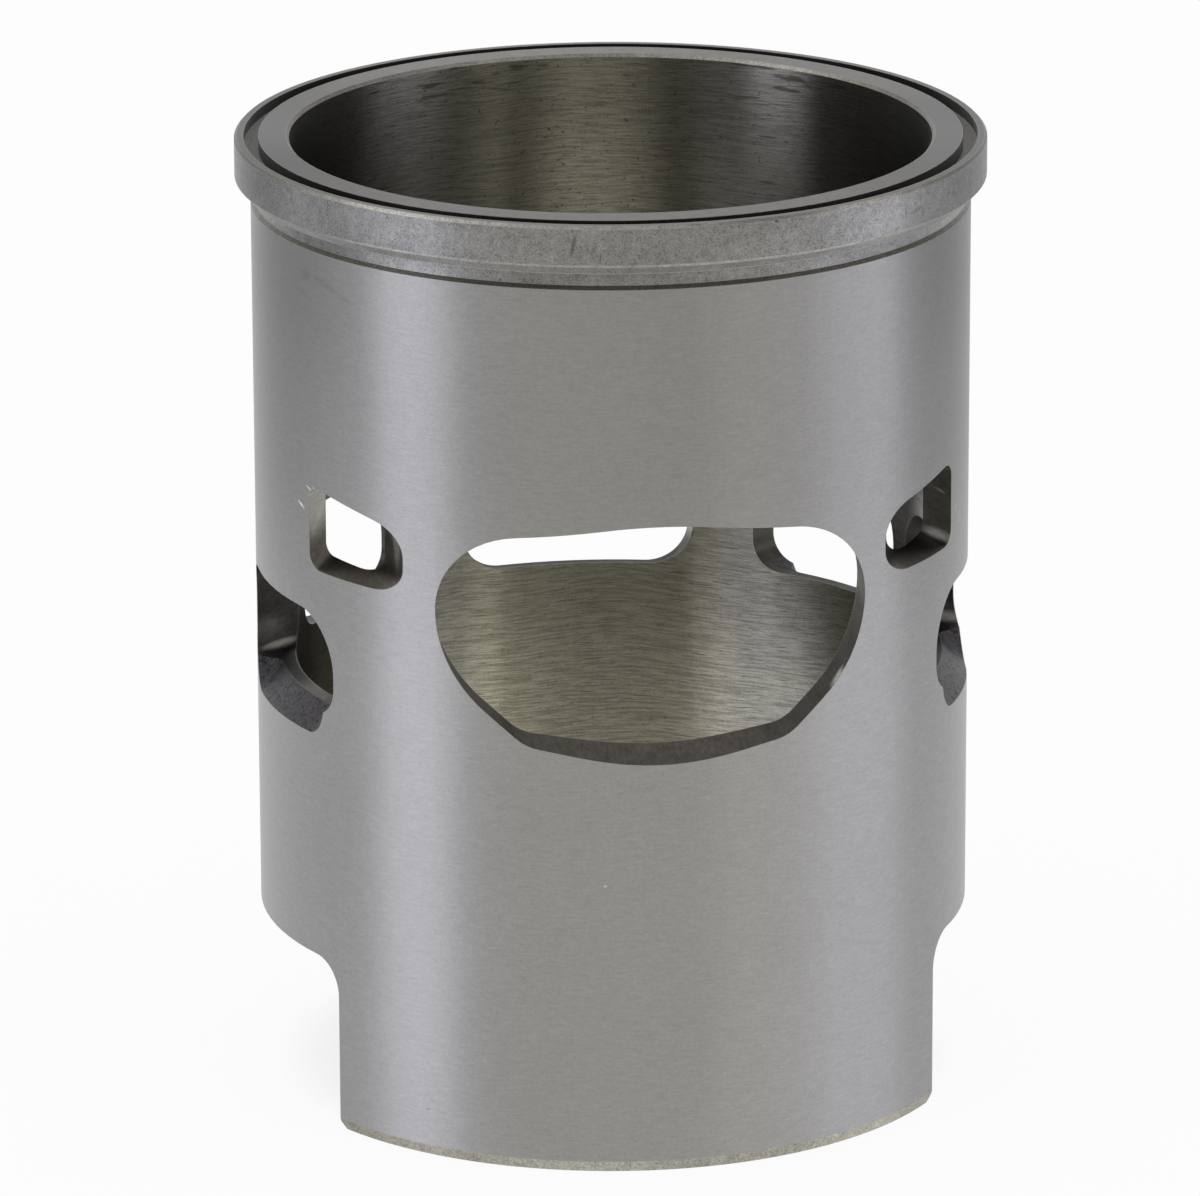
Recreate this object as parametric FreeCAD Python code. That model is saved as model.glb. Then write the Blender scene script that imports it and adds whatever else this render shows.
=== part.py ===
"""Cylinder liner of a two-stroke engine: one turned, milled and ground piece of grey iron.

Frame: millimetres, +Z up along the bore, origin on the bore's axis at the skirt's end.
The exhaust port faces -Y. Angles round the liner are in degrees from there, towards +X.
Depths are measured down from the top face, as an engine builder measures port timing.
A rounding is the length that a corner's arc takes up on each side of the corner.
"""
import FreeCAD, Part
import math
import os

V = FreeCAD.Vector
AXIS = V(0, 0, 1)

# Tube
BORE_DIAMETER = 82.0
WALL = 5.0
HEIGHT = 124.3
BORE_TOP_CHAMFER = 0.4
BORE_LEAD_IN_WIDTH = 0.6
BORE_LEAD_IN_HEIGHT = 1.4
SKIRT_LEAD_IN_WIDTH = 0.4
SKIRT_LEAD_IN_HEIGHT = 1.4

# Flange at the top, with the undercut that lets it seat square
FLANGE_OVERHANG = 2.0
FLANGE_THICKNESS = 6.35
FLANGE_LOWER_CHAMFER = 1.3
FLANGE_UPPER_CHAMFER = 0.35
UNDERCUT_DEPTH = 0.5
UNDERCUT_HEIGHT = 1.75

# Sealing ring's groove in the top face
RIM_WIDTH = 1.2
GROOVE_WIDTH = 1.9
GROOVE_DEPTH = 1.8
GROOVE_ROOT_FILLET = 0.4

# Exhaust port. Five corners make its right half, each a drop below the one before.
# A fall angle is the slope at which that corner's wall drops on its way out.
EXHAUST_TURN_ANGLE = 0.6
EXHAUST_CROWN_DEPTH = 38.6
EXHAUST_CROWN_ROUNDING = 6.9
EXHAUST_CROWN_FALL_ANGLE = 10.0
EXHAUST_SHOULDER_HALF_WIDTH = 27.7
EXHAUST_SHOULDER_DROP = 3.35
EXHAUST_SHOULDER_ROUNDING = 10.1
EXHAUST_SHOULDER_FALL_ANGLE = 5.0
EXHAUST_WAIST_INSET = 0.95
EXHAUST_WAIST_DROP = 17.65
EXHAUST_FLANK_STRAIGHT = 0.2
EXHAUST_FOOT_INSET = 10.15
EXHAUST_FOOT_DROP = 8.45
EXHAUST_FOOT_ROUNDING = 1.6
EXHAUST_FOOT_FALL_ANGLE = 4.0
EXHAUST_BOTTOM_DROP = 3.05
EXHAUST_BOTTOM_ROUNDING = 10.8
EXHAUST_BOTTOM_FALL_ANGLE = 21.0

# Auxiliary exhaust windows, one each side of the exhaust port, flared outwards
BRIDGE_ANGLE = 4.5
WINDOW_SPAN_ANGLE = 21.5
WINDOW_NEAR_HEADING_ANGLE = -9.2
WINDOW_FAR_HEADING_ANGLE = 23.0
WINDOW_FLOOR_DEPTH = 50.25
WINDOW_NEAR_HEIGHT = 8.05
WINDOW_FAR_HEIGHT = 11.05
WINDOW_INNER_ROUNDING = 1.2
WINDOW_NEAR_STRAIGHT = 0.7

# Transfer and boost ports: heading of the upright side walls, both edges at the outside,
# and the height at the bore. Their roofs are level with each other. Ramp insets are measured
# from the side walls.
FRONT_TRANSFER_HEADING_ANGLE = 54.0
FRONT_TRANSFER_FIRST_ANGLE = 57.0
FRONT_TRANSFER_LAST_ANGLE = 97.0
FRONT_TRANSFER_HEIGHT = 15.05
FRONT_RAMP_FIRST_INSET = 2.05
FRONT_RAMP_LAST_INSET = 1.2
REAR_TRANSFER_HEADING_ANGLE = 138.0
REAR_TRANSFER_FIRST_ANGLE = 112.2
REAR_TRANSFER_LAST_ANGLE = 145.0
REAR_TRANSFER_HEIGHT = 15.6
REAR_RAMP_FIRST_INSET = 2.2
REAR_RAMP_LAST_INSET = 2.6
BOOST_HALF_ANGLE = 19.7
BOOST_HEIGHT = 16.1
BOOST_FLOOR_DROP = 1.1
BOOST_LOWER_RADIUS = 5.4
PORT_ROOF_DEPTH = 54.0
PORT_ROOF_DROP = 1.95
PORT_SIDE_STRAIGHT = 2.1
TRANSFER_FLOOR_DROP = 0.2
TRANSFER_LOWER_RADIUS = 4.0

# Ramp that lowers a transfer port's floor outside a level land
RAMP_LAND = 1.7
RAMP_DROP = 3.3
RAMP_RADIUS = 4.0

# Skirt: a tongue at the front and one at the back, with a crank clearance notch each side
FRONT_TONGUE_HALF_ANGLE = 56.6
REAR_TONGUE_HALF_ANGLE = 35.5
NOTCH_HEIGHT = 22.4
NOTCH_CORNER_RADIUS = 4.6
TONGUE_CORNER_CHAMFER = 0.9

# Wall left whole above the exhaust port, before the faces that the ports break start
WHOLE_WALL_MARGIN = 2.0

# How far a cutter runs past what it cuts
OVERRUN = 2.0
OVERRUN_ANGLE = 5.0

bore_radius = BORE_DIAMETER / 2
body_radius = bore_radius + WALL
flange_radius = body_radius + FLANGE_OVERHANG
undercut_radius = body_radius - UNDERCUT_DEPTH
inner_reach = bore_radius - OVERRUN
outer_reach = body_radius + OVERRUN
flange_underside = HEIGHT - FLANGE_THICKNESS
exhaust_edge_angle = math.degrees(math.asin(EXHAUST_SHOULDER_HALF_WIDTH / body_radius))
window_near_angle = exhaust_edge_angle + BRIDGE_ANGLE
window_far_angle = window_near_angle + WINDOW_SPAN_ANGLE


def face_of(points):
    """Flat face inside a closed polygon."""
    return Part.Face(Part.makePolygon(points + points[:1]))


def at_height(depth):
    """Height above the skirt's end of something this far below the top face."""
    return HEIGHT - depth


def round_the_axis(angle, radius):
    """Point in plan at this angle from the exhaust side."""
    a = math.radians(angle)
    return V(radius * math.sin(a), -radius * math.cos(a), 0)


def crossing_edges(shape):
    """Edges that run through the wall instead of round it."""
    edges = []
    for edge in shape.Edges:
        radii = [math.hypot(v.X, v.Y) for v in edge.Vertexes]
        if max(radii) - min(radii) > WALL / 2:
            edges.append(edge)
    return edges


def rounded_wire(corners, depth):
    """Closed wire of lines and tangent arcs, in the plane y = -depth.

    Each corner is (across, up, rounding), going round the outline in order.
    """
    edges = []
    ends = []
    for i, (across, up, rounding) in enumerate(corners):
        before = corners[i - 1]
        after = corners[(i + 1) % len(corners)]
        corner = V(across, -depth, up)
        back = (V(before[0], -depth, before[1]) - corner).normalize()
        ahead = (V(after[0], -depth, after[1]) - corner).normalize()
        half = back.getAngle(ahead) / 2
        radius = rounding * math.tan(half)
        inwards = (back + ahead).normalize()
        start = corner + back * rounding
        end = corner + ahead * rounding
        middle = corner + inwards * (radius / math.sin(half) - radius)
        edges.append(Part.Arc(start, middle, end).toShape())
        ends.append((start, end))
    for i, (start, end) in enumerate(ends):
        edges.append(Part.makeLine(end, ends[(i + 1) % len(ends)][0]))
    return Part.Wire(Part.__sortEdges__(edges))


def tube():
    """Turned body: flange, groove, undercut, ground outside and plain bore."""
    groove_outside = flange_radius - RIM_WIDTH
    groove_inside = groove_outside - GROOVE_WIDTH
    groove_floor = HEIGHT - GROOVE_DEPTH
    ground_top = flange_underside - UNDERCUT_HEIGHT - UNDERCUT_DEPTH
    whole_wall_end = at_height(EXHAUST_CROWN_DEPTH) + WHOLE_WALL_MARGIN
    section = [
        V(bore_radius + BORE_LEAD_IN_WIDTH, 0, 0),
        V(body_radius - SKIRT_LEAD_IN_WIDTH, 0, 0),
        V(body_radius, 0, SKIRT_LEAD_IN_HEIGHT),
        V(body_radius, 0, whole_wall_end),
        V(body_radius, 0, ground_top),
        V(undercut_radius, 0, ground_top + UNDERCUT_DEPTH),
        V(undercut_radius, 0, flange_underside),
        V(flange_radius - FLANGE_LOWER_CHAMFER, 0, flange_underside),
        V(flange_radius, 0, flange_underside + FLANGE_LOWER_CHAMFER),
        V(flange_radius, 0, HEIGHT - FLANGE_UPPER_CHAMFER),
        V(flange_radius - FLANGE_UPPER_CHAMFER, 0, HEIGHT),
        V(groove_outside, 0, HEIGHT),
        V(groove_outside, 0, groove_floor + GROOVE_ROOT_FILLET),
        V(groove_outside - GROOVE_ROOT_FILLET, 0, groove_floor),
        V(groove_inside, 0, groove_floor),
        V(groove_inside, 0, HEIGHT),
        V(bore_radius + BORE_TOP_CHAMFER, 0, HEIGHT),
        V(bore_radius, 0, HEIGHT - BORE_TOP_CHAMFER),
        V(bore_radius, 0, whole_wall_end),
        V(bore_radius, 0, BORE_LEAD_IN_HEIGHT),
    ]
    return face_of(section).revolve(V(0, 0, 0), AXIS, 360)


def exhaust_outline(depth):
    """Exhaust port's outline where the plane y = -depth crosses its passage.

    The waist's arc takes up what the shoulder's arc leaves of the flank between them.
    """
    waist_half_width = EXHAUST_SHOULDER_HALF_WIDTH - EXHAUST_WAIST_INSET
    half = [
        (0, 0, EXHAUST_CROWN_ROUNDING, EXHAUST_CROWN_FALL_ANGLE),
        (
            EXHAUST_SHOULDER_HALF_WIDTH,
            EXHAUST_SHOULDER_DROP,
            EXHAUST_SHOULDER_ROUNDING,
            EXHAUST_SHOULDER_FALL_ANGLE,
        ),
        (waist_half_width, EXHAUST_WAIST_DROP, 0, 0),
        (
            waist_half_width - EXHAUST_FOOT_INSET,
            EXHAUST_FOOT_DROP,
            EXHAUST_FOOT_ROUNDING,
            EXHAUST_FOOT_FALL_ANGLE,
        ),
        (0, EXHAUST_BOTTOM_DROP, EXHAUST_BOTTOM_ROUNDING, EXHAUST_BOTTOM_FALL_ANGLE),
    ]
    right = []
    level = at_height(EXHAUST_CROWN_DEPTH)
    for across, drop, rounding, fall in half:
        level -= drop
        at_surface = math.sqrt(body_radius ** 2 - across ** 2)
        rise = (at_surface - depth) * math.tan(math.radians(fall))
        right.append((across, level + rise, rounding))
    flank = math.dist(right[1][:2], right[2][:2])
    waist_rounding = flank - EXHAUST_SHOULDER_ROUNDING - EXHAUST_FLANK_STRAIGHT
    right[2] = (right[2][0], right[2][1], waist_rounding)
    left = [(-across, up, rounding) for across, up, rounding in right[-2:0:-1]]
    return rounded_wire(right + left, depth)


def exhaust_port():
    """Main exhaust passage, lofted because its floor falls away most in the middle."""
    widest = EXHAUST_SHOULDER_HALF_WIDTH
    inner_plane = math.sqrt(inner_reach ** 2 - widest ** 2)
    passage = Part.makeLoft([exhaust_outline(inner_plane), exhaust_outline(outer_reach)], True, True)
    passage.rotate(V(0, 0, 0), AXIS, EXHAUST_TURN_ANGLE)
    return passage


def window_outline(depth, rounding=None):
    """Right-hand auxiliary window's outline in the plane y = -depth.

    Without a rounding, the near side is nearly a half circle.
    """
    near = round_the_axis(window_near_angle, body_radius)
    far = round_the_axis(window_far_angle, body_radius)
    near_x = near.x + (depth + near.y) * math.tan(math.radians(WINDOW_NEAR_HEADING_ANGLE))
    far_x = far.x + (depth + far.y) * math.tan(math.radians(WINDOW_FAR_HEADING_ANGLE))
    slope = (WINDOW_FAR_HEIGHT - WINDOW_NEAR_HEIGHT) / (far.x - near.x)
    near_height = WINDOW_NEAR_HEIGHT + (near_x - near.x) * slope
    far_height = WINDOW_FAR_HEIGHT + (far_x - far.x) * slope
    floor = at_height(WINDOW_FLOOR_DEPTH)
    if rounding is None:
        rounding = (near_height - WINDOW_NEAR_STRAIGHT) / 2
    corners = [
        (near_x, floor + near_height, rounding),
        (far_x, floor + far_height, rounding),
        (far_x, floor, rounding),
        (near_x, floor, rounding),
    ]
    return rounded_wire(corners, depth)


def exhaust_window():
    """Right-hand auxiliary exhaust window."""
    far = round_the_axis(window_far_angle, body_radius)
    heading = math.radians(WINDOW_FAR_HEADING_ANGLE)
    sideways = far.x * math.cos(heading) + far.y * math.sin(heading)
    along = math.sqrt(inner_reach ** 2 - sideways ** 2)
    inner_plane = along * math.cos(heading) - sideways * math.sin(heading)
    outer_plane = outer_reach * math.cos(math.radians(window_near_angle)) + OVERRUN
    inner = window_outline(inner_plane, WINDOW_INNER_ROUNDING)
    return Part.makeLoft([inner, window_outline(outer_plane)], True, True)


def ring_sector(section, first, last):
    """Section of (radius, height) points swept round the axis between two angles."""
    face = face_of([V(radius, 0, height) for radius, height in section])
    sector = face.revolve(V(0, 0, 0), AXIS, last - first)
    sector.rotate(V(0, 0, 0), AXIS, first - 90)
    return sector


def side_slab(heading, left, right):
    """Space between the two upright side walls of a passage with this heading."""
    slab = Part.makeBox(right - left, outer_reach, HEIGHT, V(left, -outer_reach, 0))
    slab.rotate(V(0, 0, 0), AXIS, heading)
    return slab


def passage_block(heading, sides, floor, roof):
    """Passage through the wall with upright sides and a sloped floor and roof.

    Floor and roof are pairs of heights, at the bore and at the outside.
    """
    def carried_on(pair, radius):
        return pair[0] + (pair[1] - pair[0]) * (radius - bore_radius) / WALL

    section = [
        (inner_reach, carried_on(floor, inner_reach)),
        (outer_reach, carried_on(floor, outer_reach)),
        (outer_reach, carried_on(roof, outer_reach)),
        (inner_reach, carried_on(roof, inner_reach)),
    ]
    first = heading + math.degrees(math.asin(sides[0] / inner_reach))
    last = heading + math.degrees(math.asin(sides[1] / inner_reach))
    sector = ring_sector(section, min(first, heading) - OVERRUN_ANGLE, max(last, heading) + OVERRUN_ANGLE)
    return sector.common(side_slab(heading, sides[0], sides[1]))


def round_corners(passage, middle, lower_radius, upper_radius=None):
    """Rounds a passage's lower corners, and its upper ones if they have a radius."""
    lower = [edge for edge in crossing_edges(passage) if edge.CenterOfMass.z < middle]
    passage = passage.makeFillet(lower_radius, lower)
    if upper_radius:
        long_enough = [edge for edge in crossing_edges(passage) if edge.CenterOfMass.z > middle]
        passage = passage.makeFillet(upper_radius, long_enough)
    return passage


def scavenge_slot(heading, sides, height, floor_drop, lower_radius):
    """Transfer or boost port without a ramp. Gives the passage, its floor and its roof."""
    roof = (at_height(PORT_ROOF_DEPTH), at_height(PORT_ROOF_DEPTH + PORT_ROOF_DROP))
    floor = (roof[0] - height, roof[0] - height - floor_drop)
    upper_radius = roof[1] - floor[0] - lower_radius - PORT_SIDE_STRAIGHT
    slot = passage_block(heading, sides, floor, roof)
    return round_corners(slot, (floor[0] + roof[1]) / 2, lower_radius, upper_radius), floor, roof


def transfer_port(heading, first_angle, last_angle, height, first_inset, last_inset):
    """Right-hand transfer port: a slot, with a ramp cut into its floor outside the land."""
    sides = (
        body_radius * math.sin(math.radians(first_angle - heading)),
        body_radius * math.sin(math.radians(last_angle - heading)),
    )
    slot, floor, roof = scavenge_slot(heading, sides, height, TRANSFER_FLOOR_DROP, TRANSFER_LOWER_RADIUS)
    ramp_start = floor[0] + RAMP_DROP * RAMP_LAND / (WALL - RAMP_LAND)
    ramp_top = floor[0] + (roof[1] - floor[0]) * 0.7
    ramp_sides = (sides[0] + first_inset, sides[1] - last_inset)
    ramp = passage_block(heading, ramp_sides, (ramp_start, floor[0] - RAMP_DROP), (ramp_top, ramp_top))
    return slot.fuse(round_corners(ramp, ramp_top - TRANSFER_LOWER_RADIUS, RAMP_RADIUS))


def boost_port():
    """Boost port, opposite the exhaust port, with a plain falling floor."""
    half_width = body_radius * math.sin(math.radians(BOOST_HALF_ANGLE))
    sides = (-half_width, half_width)
    return scavenge_slot(180, sides, BOOST_HEIGHT, BOOST_FLOOR_DROP, BOOST_LOWER_RADIUS)[0]


def crank_notch():
    """Right-hand notch in the skirt, open downwards."""
    section = [
        (inner_reach, -OVERRUN),
        (outer_reach, -OVERRUN),
        (outer_reach, NOTCH_HEIGHT),
        (inner_reach, NOTCH_HEIGHT),
    ]
    notch = ring_sector(section, FRONT_TONGUE_HALF_ANGLE, 180 - REAR_TONGUE_HALF_ANGLE)
    top_edges = [edge for edge in crossing_edges(notch) if edge.CenterOfMass.z > NOTCH_HEIGHT / 2]
    return notch.makeFillet(NOTCH_CORNER_RADIUS, top_edges)


def on_both_sides(shape):
    """The shape and its mirror image across the liner's own plane of symmetry."""
    return [shape, shape.mirror(V(0, 0, 0), V(1, 0, 0))]


def chamfer_tongues(liner):
    """Takes the sharp lower corners off both tongues."""
    corners = [edge for edge in crossing_edges(liner) if edge.BoundBox.ZMax < 0.01]
    return liner.makeChamfer(TONGUE_CORNER_CHAMFER, corners)


cutters = [exhaust_port(), boost_port()]
cutters += on_both_sides(exhaust_window())
cutters += on_both_sides(
    transfer_port(
        FRONT_TRANSFER_HEADING_ANGLE,
        FRONT_TRANSFER_FIRST_ANGLE,
        FRONT_TRANSFER_LAST_ANGLE,
        FRONT_TRANSFER_HEIGHT,
        FRONT_RAMP_FIRST_INSET,
        FRONT_RAMP_LAST_INSET,
    )
)
cutters += on_both_sides(
    transfer_port(
        REAR_TRANSFER_HEADING_ANGLE,
        REAR_TRANSFER_FIRST_ANGLE,
        REAR_TRANSFER_LAST_ANGLE,
        REAR_TRANSFER_HEIGHT,
        REAR_RAMP_FIRST_INSET,
        REAR_RAMP_LAST_INSET,
    )
)
cutters += on_both_sides(crank_notch())

cylinder_liner = chamfer_tongues(tube().cut(cutters))

os.makedirs("parts", exist_ok=True)
cylinder_liner.exportStep("parts/cylinder_liner.step")
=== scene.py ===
"""Studio scene of a two-stroke cylinder liner: its iron finishes, the light and the camera.

Everything is in metres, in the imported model's frame: +Z up along the bore, the exhaust port
towards -Y, the skirt's tongues on the floor at Z = 0. Finishes are written in millimetres.
Angles round the liner are in degrees from the exhaust port, towards +X.
"""

import logging
import math
from dataclasses import dataclass
from enum import Enum
from typing import Sequence, Union

import bpy
from mathutils import Matrix, Vector

LOG = logging.getLogger("liner")
MM = 0.001
# A measure in millimetres past everything on the liner, and one below its foot.
FAR_OUT = 999.0
BELOW = -1.0
# The middle of the front is warmest this far left of the exhaust port, in radians.
WARM_MIDDLE = 0.03

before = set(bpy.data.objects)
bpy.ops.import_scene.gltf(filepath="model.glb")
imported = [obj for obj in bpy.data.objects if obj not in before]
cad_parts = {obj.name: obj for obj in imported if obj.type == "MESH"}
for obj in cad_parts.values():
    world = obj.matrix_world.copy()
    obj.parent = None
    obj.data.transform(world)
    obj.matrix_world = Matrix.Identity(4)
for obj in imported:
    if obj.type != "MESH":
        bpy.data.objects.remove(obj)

Socket = bpy.types.NodeSocket
Number = Union[float, Socket]
Range = tuple[float, float]
Colour = tuple[float, float, float]
Triple = Union[Colour, Socket]
WHITE: Colour = (1.0, 1.0, 1.0)


class Facing(Enum):
    """Which faces of a zone its finish covers."""

    ANY = "any"
    UP = "up"


class Wiring:
    """Draws the nodes of a material or of the world, with one short call for each."""

    def __init__(self, tree: bpy.types.NodeTree) -> None:
        """Starts on an empty node tree.

        Args:
            tree: The tree to draw in.
        """
        self.tree = tree
        tree.nodes.clear()

    def node(self, kind: str, **settings: object) -> bpy.types.Node:
        """Adds a node.

        Args:
            kind: The node's type name.
            **settings: Properties to set on it.

        Returns:
            The new node.
        """
        made = self.tree.nodes.new(kind)
        for name, value in settings.items():
            setattr(made, name, value)
        return made

    def feed(self, target: Socket, value: object) -> None:
        """Links a socket to an input, or writes a plain value on it.

        Args:
            target: The input.
            value: A socket, a number or a tuple.
        """
        if isinstance(value, bpy.types.NodeSocket):
            self.tree.links.new(value, target)
        elif isinstance(value, tuple) and target.type == "RGBA":
            target.default_value = (*value, 1.0)
        else:
            target.default_value = value

    def math(self, operation: str, first: Number, second: Number = 0.0) -> Socket:
        """Does one sum.

        Args:
            operation: The Math node's operation.
            first: First number.
            second: Second number.

        Returns:
            The result.
        """
        made = self.node("ShaderNodeMath", operation=operation)
        self.feed(made.inputs[0], first)
        self.feed(made.inputs[1], second)
        return made.outputs[0]

    def times(self, first: Number, second: Number) -> Socket:
        """Multiplies two numbers."""
        return self.math("MULTIPLY", first, second)

    def total(self, start: float, *shares: tuple[float, Number]) -> Socket:
        """Adds weighted numbers.

        Args:
            start: What is there without them.
            *shares: Each number, after its weight.

        Returns:
            The sum.
        """
        result: Number = start
        for weight, number in shares:
            made = self.node("ShaderNodeMath", operation="MULTIPLY_ADD")
            for target, value in zip(made.inputs, (number, weight, result)):
                self.feed(target, value)
            result = made.outputs[0]
        return result

    def vector(self, operation: str, first: Triple, second: Triple = (0.0, 0.0, 0.0)) -> Socket:
        """Does one vector sum.

        Args:
            operation: The Vector Math node's operation.
            first: First vector.
            second: Second vector.

        Returns:
            The resulting vector, or number where the operation gives one.
        """
        made = self.node("ShaderNodeVectorMath", operation=operation)
        self.feed(made.inputs[0], first)
        self.feed(made.inputs[1], second)
        gives_number = operation in ("DOT_PRODUCT", "LENGTH", "DISTANCE")
        return made.outputs["Value" if gives_number else "Vector"]

    def combine(self, x: Number, y: Number, z: Number) -> Socket:
        """Makes a vector of three numbers.

        Args:
            x: Its X.
            y: Its Y.
            z: Its Z.

        Returns:
            The vector.
        """
        made = self.node("ShaderNodeCombineXYZ")
        for target, value in zip(made.inputs, (x, y, z)):
            self.feed(target, value)
        return made.outputs[0]

    def separate(self, vector: Triple) -> Sequence[Socket]:
        """Splits a vector.

        Args:
            vector: The vector.

        Returns:
            Its X, Y and Z.
        """
        made = self.node("ShaderNodeSeparateXYZ")
        self.feed(made.inputs[0], vector)
        return made.outputs

    def ease(self, value: Number, low: float, high: float, start: float = 0.0, end: float = 1.0) -> Socket:
        """Goes smoothly from one number to another as a value rises.

        Args:
            value: What is measured.
            low: Where the change starts.
            high: Where it ends.
            start: The result up to low.
            end: The result from high.

        Returns:
            The result.
        """
        made = self.node("ShaderNodeMapRange", interpolation_type="SMOOTHSTEP")
        for target, number in zip(made.inputs, (value, low, high, start, end)):
            self.feed(target, number)
        return made.outputs[0]

    def between(self, value: Number, low: float, high: float, edge: float) -> Socket:
        """Is 1 inside a range and 0 outside it.

        Args:
            value: What is measured.
            low: The range's lower end.
            high: Its upper end.
            edge: How wide the change at each end is.

        Returns:
            The mask.
        """
        rising = self.ease(value, low - edge / 2, low + edge / 2)
        falling = self.ease(value, high - edge / 2, high + edge / 2, 1.0, 0.0)
        return self.times(rising, falling)

    def noise(self, at: Triple, scale: float = 1.0, detail: float = 2.0, roughness: float = 0.5) -> Socket:
        """Cloudy noise from 0 to 1.

        Args:
            at: Where it is read.
            scale: How many clouds there are in a unit.
            detail: How many finer layers it has.
            roughness: How strong those are.

        Returns:
            The noise.
        """
        made = self.node("ShaderNodeTexNoise")
        self.feed(made.inputs["Vector"], at)
        made.inputs["Scale"].default_value = scale
        made.inputs["Detail"].default_value = detail
        made.inputs["Roughness"].default_value = roughness
        return made.outputs["Fac"]

    def blend(self, share: Number, first: Triple, second: Triple) -> Socket:
        """Blends two colours.

        Args:
            share: How much of the second colour shows.
            first: First colour.
            second: Second colour.

        Returns:
            The blended colour.
        """
        made = self.node("ShaderNodeMix", data_type="RGBA")
        self.feed(made.inputs["Factor"], share)
        self.feed(made.inputs[6], first)
        self.feed(made.inputs[7], second)
        return made.outputs[2]

    def toned(self, colour: Triple, tone: Socket) -> Socket:
        """Makes a colour lighter or darker.

        Args:
            colour: The colour.
            tone: What each of its parts is multiplied by.

        Returns:
            The toned colour.
        """
        made = self.node("ShaderNodeVectorMath", operation="SCALE")
        self.feed(made.inputs[0], colour)
        self.feed(made.inputs["Scale"], tone)
        return made.outputs[0]

    def mix(self, share: Number, first: Number, second: Number) -> Socket:
        """Blends two numbers.

        Args:
            share: How much of the second number shows.
            first: First number.
            second: Second number.

        Returns:
            The blended number.
        """
        made = self.node("ShaderNodeMix", data_type="FLOAT")
        self.feed(made.inputs[0], share)
        self.feed(made.inputs[2], first)
        self.feed(made.inputs[3], second)
        return made.outputs[0]


@dataclass
class Surroundings:
    """What a finish reads of the place that it colours. Lengths are in millimetres.

    Attributes:
        wiring: The material's wiring.
        place: The place itself.
        radius: Its distance from the bore's axis.
        height: Its height above the skirt's foot.
        turn: Its angle round the axis from the exhaust port, in radians.
        arc: How far round the wall it lies from the exhaust port.
        depth: How far back it lies, along +Y.
        up_facing: How squarely its face looks up, from -1 to 1.
    """

    wiring: Wiring
    place: Socket
    radius: Socket
    height: Socket
    turn: Socket
    arc: Socket
    depth: Socket
    up_facing: Socket

    @classmethod
    def read(cls, wiring: Wiring) -> "Surroundings":
        """Draws the nodes that measure a point of the liner.

        Args:
            wiring: The material's wiring.

        Returns:
            The measurements.
        """
        coordinates = wiring.node("ShaderNodeTexCoord")
        place = wiring.vector("MULTIPLY", coordinates.outputs["Object"], (1 / MM,) * 3)
        across, depth, height = wiring.separate(place)
        radius = wiring.vector("LENGTH", wiring.combine(across, depth, 0.0))
        turn = wiring.math("ARCTAN2", across, wiring.times(depth, -1.0))
        return cls(
            wiring=wiring,
            place=place,
            radius=radius,
            height=height,
            turn=turn,
            arc=wiring.times(turn, radius),
            depth=depth,
            up_facing=wiring.separate(coordinates.outputs["Normal"])[2],
        )

    def drawn_round(self, round_scale: float, up_scale: float) -> Socket:
        """The place, scaled so that noise on it draws out round the axis.

        Args:
            round_scale: Scale along X and Y.
            up_scale: Scale along Z.

        Returns:
            The scaled place.
        """
        return self.wiring.vector("MULTIPLY", self.place, (round_scale, round_scale, up_scale))

    def drawn_through(self, scale: float, through_scale: float) -> Socket:
        """The place, scaled so that noise on it draws out through the wall.

        Args:
            scale: Scale round the axis and up.
            through_scale: Scale through the wall.

        Returns:
            The scaled place.
        """
        w = self.wiring
        return w.combine(w.times(self.arc, scale), w.times(self.height, scale), w.times(self.radius, through_scale))

    def warm_share(self, reach: Range) -> Socket:
        """How much of the warmer colour a place near the middle of the front has.

        Args:
            reach: Angles from the middle, in radians, where the share leaves 1 and where it gets to 0.

        Returns:
            The share.
        """
        w = self.wiring
        aside = w.math("ABSOLUTE", w.total(WARM_MIDDLE, (1.0, self.turn)))
        return w.ease(aside, *reach, start=1.0, end=0.0)


@dataclass(frozen=True)
class Mark:
    """A smear, spot or scratch on a round wall, as a soft ellipse.

    Attributes:
        angle: Its middle's angle round the liner.
        height: Its middle's height.
        length: Half its length.
        width: Half its width.
        tilt: How far its length is turned from level, in degrees.
        strength: How much of its colour shows.
    """

    angle: float
    height: float
    length: float
    width: float
    tilt: float = 0.0
    strength: float = 0.3

    def draw(self, at: Surroundings, radius: float) -> Socket:
        """Draws the mark's mask.

        Args:
            at: Measurements of the surface.
            radius: The wall's radius.

        Returns:
            Its strength at the middle, falling to 0 at its edge.
        """
        w = at.wiring
        aside = w.total(-math.radians(self.angle) * radius, (radius, at.turn))
        up = w.total(-self.height, (1.0, at.height))
        cosine, sine = math.cos(math.radians(self.tilt)), math.sin(math.radians(self.tilt))
        along = w.total(0.0, (cosine / self.length, aside), (sine / self.length, up))
        over = w.total(0.0, (cosine / self.width, up), (-sine / self.width, aside))
        reach = w.vector("LENGTH", w.combine(along, over, 0.0))
        return w.ease(reach, low=0.2, high=1.0, start=self.strength, end=0.0)


def all_marks(at: Surroundings, radius: float, marks: Sequence[Mark]) -> Socket:
    """Draws several marks as one mask.

    Args:
        at: Measurements of the surface.
        radius: The wall's radius.
        marks: The marks.

    Returns:
        The strongest mark at each place.
    """
    mask = marks[0].draw(at, radius)
    for mark in marks[1:]:
        mask = at.wiring.math("MAXIMUM", mask, mark.draw(at, radius))
    return mask


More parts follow.
